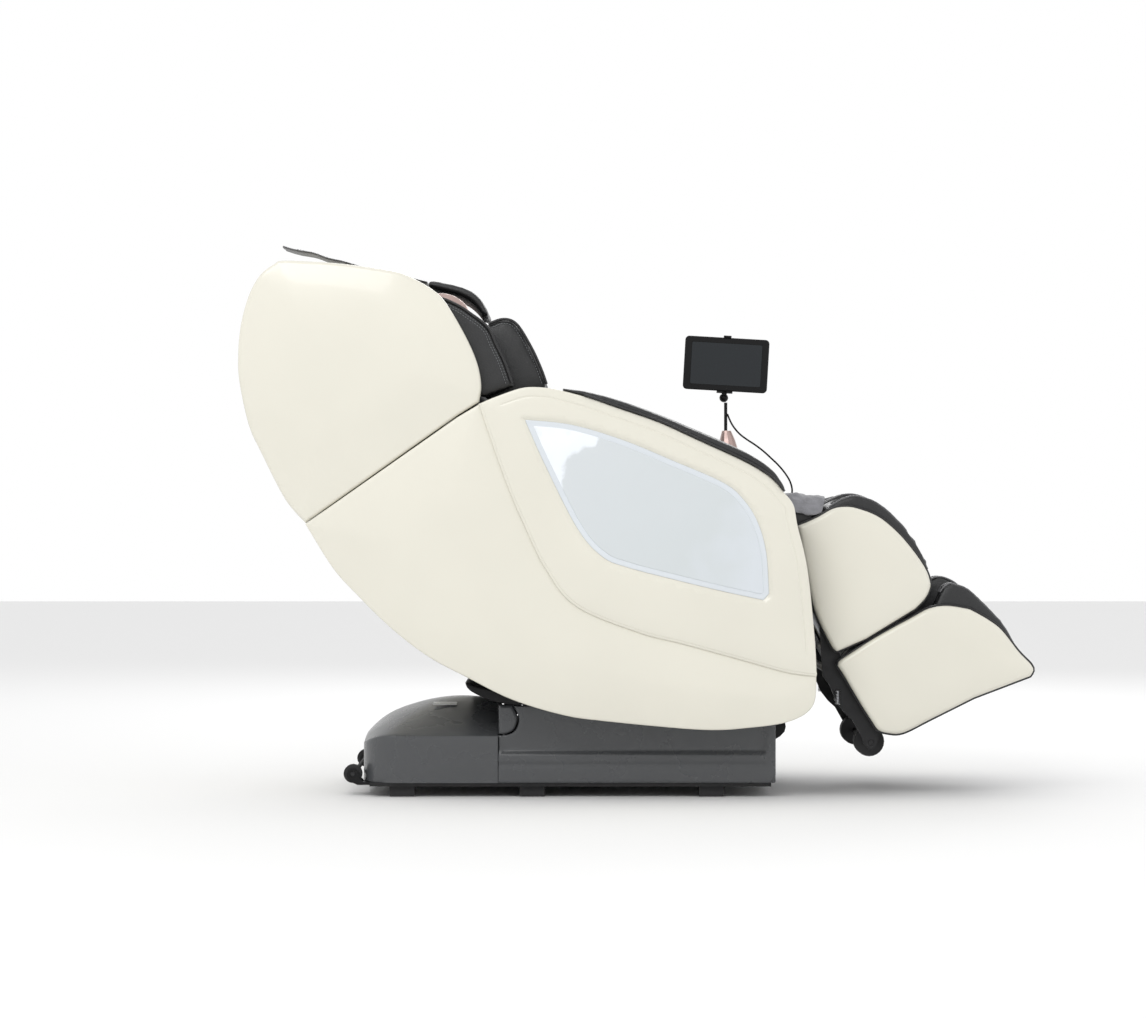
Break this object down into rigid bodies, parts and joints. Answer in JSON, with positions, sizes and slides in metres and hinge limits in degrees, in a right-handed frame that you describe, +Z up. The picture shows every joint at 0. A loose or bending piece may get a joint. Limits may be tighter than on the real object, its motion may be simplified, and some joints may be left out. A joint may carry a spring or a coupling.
{
  "type": "massage chair",
  "caption": "Reclining massage chair with cream shell casings, black padded leather, a sliding base, a swinging telescoping legrest and a tablet on a stalk.",
  "frame": {"origin": "centre of the whole chair's box, on the floor", "axes": "+X towards the feet, +Y towards the sitter's left, +Z up"},
  "size_m": [1.773, 0.79, 1.255],
  "materials": {
    "cream_shell": "glossy",
    "window_glaze": "glossy",
    "black_leather": "satin grain",
    "grey_plastic": "satin",
    "black_plastic": "satin",
    "black_steel": "satin",
    "zinc_steel": "brushed",
    "rose_gold": "satin",
    "black_rubber": "matte",
    "grey_cloth": "matte",
    "screen_glass": "glossy"
  },
  "bodies": {
    "base": {"base_plate": "black_steel", "base_cover_rear": "grey_plastic", "base_cover_front": "grey_plastic", "front_stop": "black_plastic", "levelling_feet": "black_rubber", "guide_rails": "zinc_steel", "control_box": "black_plastic", "wheel_brackets": "black_plastic", "slide_actuator": "black_steel", "power_inlet": "black_plastic"},
    "transport_wheels": {"transport_wheels": "black_rubber"},
    "power_switch": {"power_switch": "black_rubber"},
    "carriage": {"carriage_frame": "black_steel"},
    "seat": {"lower_casing_right": "cream_shell", "lower_casing_left": "cream_shell", "armrest_casing_right": "cream_shell", "armrest_casing_left": "cream_shell", "arm_window_right": "window_glaze", "arm_window_left": "window_glaze", "arm_pad_right": "black_leather", "arm_pad_left": "black_leather", "arm_liner_right": "black_leather", "arm_liner_left": "black_leather", "lower_rear_cover": "cream_shell", "seat_frame": "black_steel", "seat_cushion": "black_leather", "tablet_base": "rose_gold", "tablet_lead": "black_rubber", "lead_grommet": "black_rubber"},
    "stalk": {"tablet_stalk": "black_plastic"},
    "tablet": {"tablet_case": "black_plastic", "tablet_screen": "screen_glass", "tablet_clamp": "black_plastic"},
    "back": {"back_shell_right": "cream_shell", "back_shell_left": "cream_shell", "back_shell_rear": "cream_shell", "back_frame": "black_steel", "back_cushion": "black_leather", "headrest": "black_leather", "head_pillow": "black_leather", "pillow_strap": "black_leather", "bolster_right": "black_leather", "bolster_left": "black_leather", "shoulder_pad_right": "black_leather", "shoulder_pad_left": "black_leather", "speaker_right": "rose_gold", "speaker_left": "rose_gold"},
    "massage_carriage": {"massage_carriage": "black_steel"},
    "massage_rollers": {"massage_rollers": "black_plastic"},
    "legrest": {"leg_frame": "black_steel", "calf_panel_right": "cream_shell", "calf_panel_left": "cream_shell", "calf_cushion": "black_leather", "knee_cloth": "grey_cloth"},
    "leg_rollers": {"leg_rollers": "black_rubber"},
    "footrest": {"foot_panel_right": "cream_shell", "foot_panel_left": "cream_shell", "foot_cushion": "black_leather", "foot_slide_bars": "zinc_steel"},
    "foot_rollers": {"foot_rollers": "black_plastic"}
  },
  "joints": [
    {"name": "carriage_slide", "type": "slide", "parent": "base", "child": "carriage", "axis": [1, 0, 0], "range_m": [-0.07, 0]},
    {"name": "seat_tilt", "type": "hinge", "parent": "carriage", "child": "seat", "pos_m": [-0.06, 0, 0.3], "axis": [0, -1, 0], "range_deg": [-6, 0]},
    {"name": "back_recline", "type": "hinge", "parent": "seat", "child": "back", "pos_m": [-0.173, 0, 0.532], "axis": [0, -1, 0], "range_deg": [-32, 0]},
    {"name": "legrest_swing", "type": "hinge", "parent": "seat", "child": "legrest", "pos_m": [0.34, 0, 0.556], "axis": [0, -1, 0], "range_deg": [-4, 50]},
    {"name": "foot_extension", "type": "slide", "parent": "legrest", "child": "footrest", "axis": [0.4741, 0, -0.8805], "range_m": [0, 0.12]},
    {"name": "tablet_yaw", "type": "hinge", "parent": "seat", "child": "stalk", "pos_m": [0.229, 0.334, 0.87], "axis": [0, 0, 1], "range_deg": [-40, 40]},
    {"name": "tablet_tilt", "type": "hinge", "parent": "stalk", "child": "tablet", "pos_m": [0.229, 0.334, 0.9164], "axis": [1, 0, 0], "range_deg": [-20, 20]},
    {"name": "massage_travel", "type": "slide", "parent": "back", "child": "massage_carriage", "axis": [-0.7071, 0, 0.7071], "range_m": [0, 0.36]},
    {"name": "massage_roller_spin", "type": "hinge", "parent": "massage_carriage", "child": "massage_rollers", "pos_m": [-0.3264, 0, 0.725], "axis": [0, 1, 0], "continuous": true},
    {"name": "leg_roller_spin", "type": "hinge", "parent": "legrest", "child": "leg_rollers", "pos_m": [0.528, 0, 0.118], "axis": [0, 1, 0], "continuous": true},
    {"name": "foot_roller_spin", "type": "hinge", "parent": "footrest", "child": "foot_rollers", "pos_m": [0.752, 0, 0.314], "axis": [0, 1, 0], "continuous": true},
    {"name": "transport_wheel_spin", "type": "hinge", "parent": "base", "child": "transport_wheels", "pos_m": [-0.641, 0, 0.0475], "axis": [0, 1, 0], "continuous": true},
    {"name": "power_rocker", "type": "hinge", "parent": "base", "child": "power_switch", "pos_m": [-0.626, 0.125, 0.08], "axis": [0, 1, 0], "range_deg": [-8, 8]}
  ]
}
